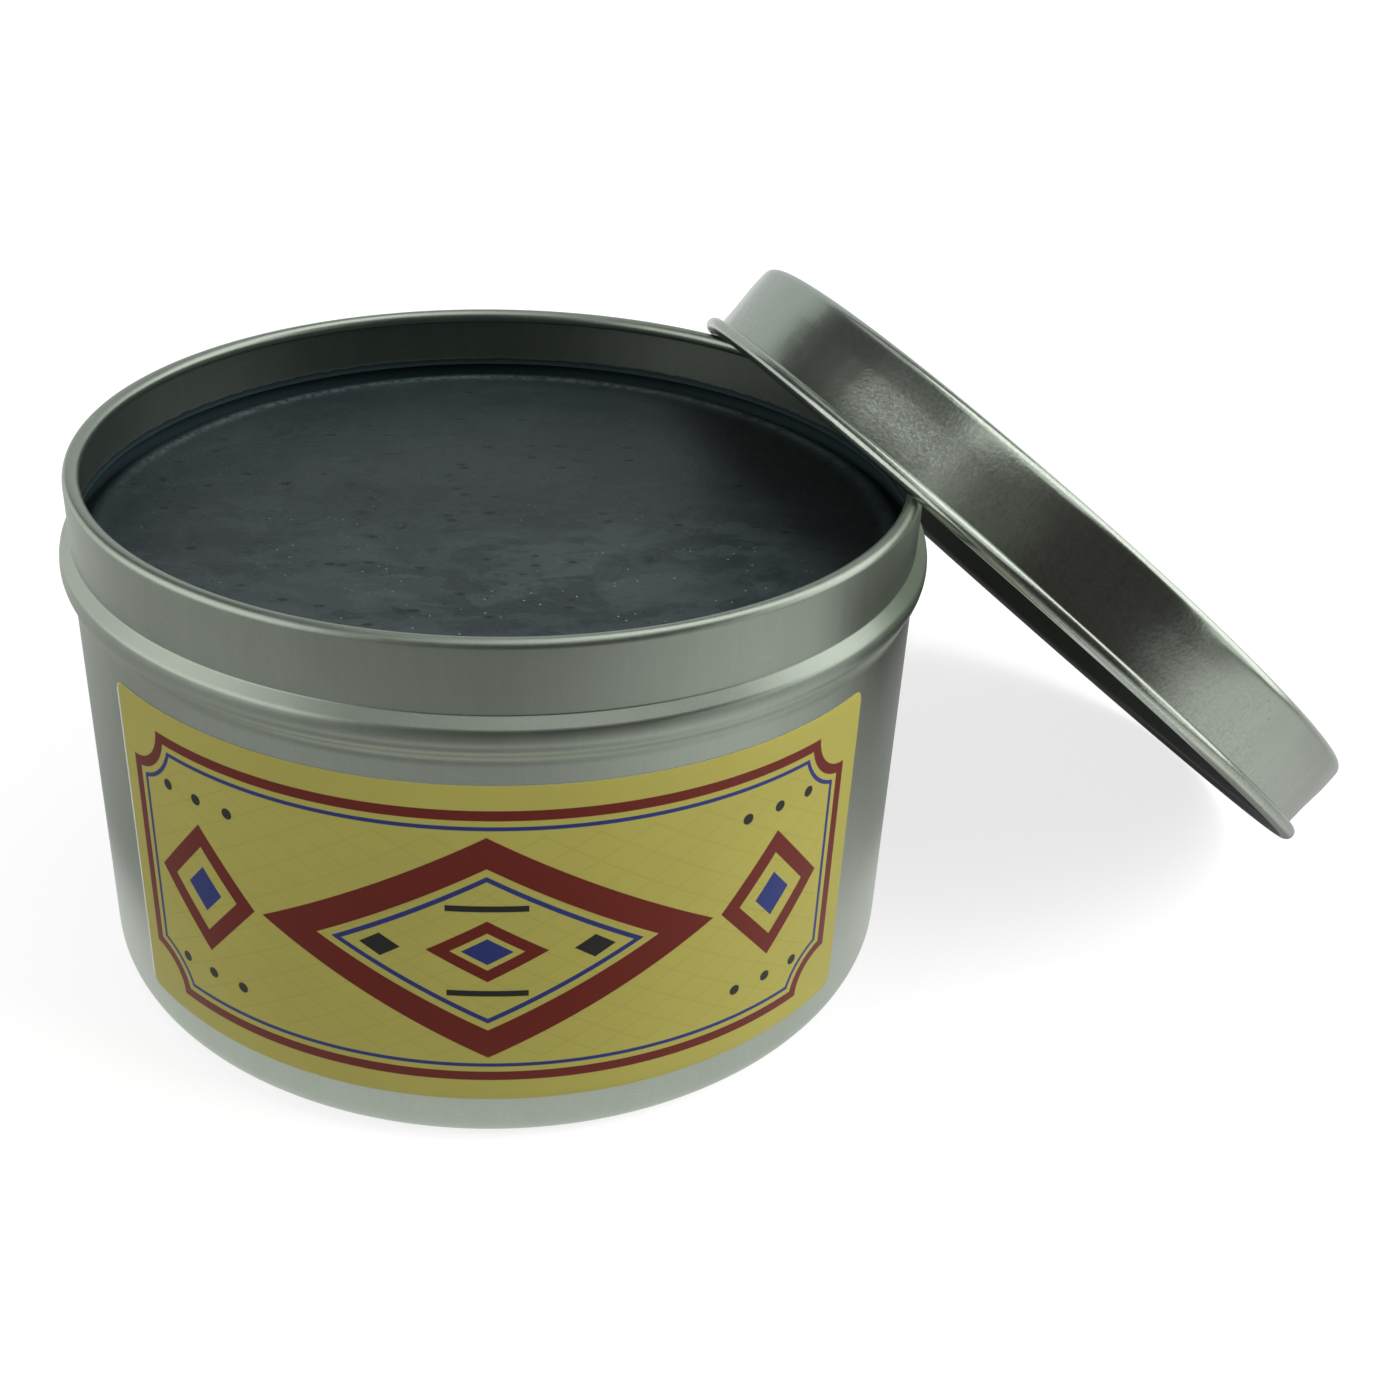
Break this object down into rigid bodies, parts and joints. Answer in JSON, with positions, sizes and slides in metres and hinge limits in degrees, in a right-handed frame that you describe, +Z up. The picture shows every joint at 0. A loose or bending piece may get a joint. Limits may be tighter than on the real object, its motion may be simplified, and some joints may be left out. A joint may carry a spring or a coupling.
{
  "type": "wax tin",
  "caption": "Round drawn tinplate tin of dark finishing wax with a paper label, and its slip lid off, leaning on the rim. The lid lifts away and the base stands flat.",
  "frame": {"origin": "centre of the tin's flat base, on the surface it stands on", "axes": "+Z up along the tin's axis, the label faces -Y, and the lid leans toward +X, turned a little toward +Y"},
  "size_m": [0.1485, 0.1117, 0.0701],
  "materials": {
    "tinplate_body": "satin bare tinplate",
    "tinplate_lid": "satin bare tinplate, a little glossier than the body",
    "wax": null,
    "label_paper": null
  },
  "bodies": {
    "tin": {"tin_body": "tinplate_body", "wax": "wax", "label": "label_paper"},
    "lid": {"lid": "tinplate_lid"}
  },
  "joints": [
    {"name": "lid_lift", "type": "slide", "parent": "tin", "child": "lid", "axis": [0, 0, 1], "range_m": [0, 0.12]}
  ]
}
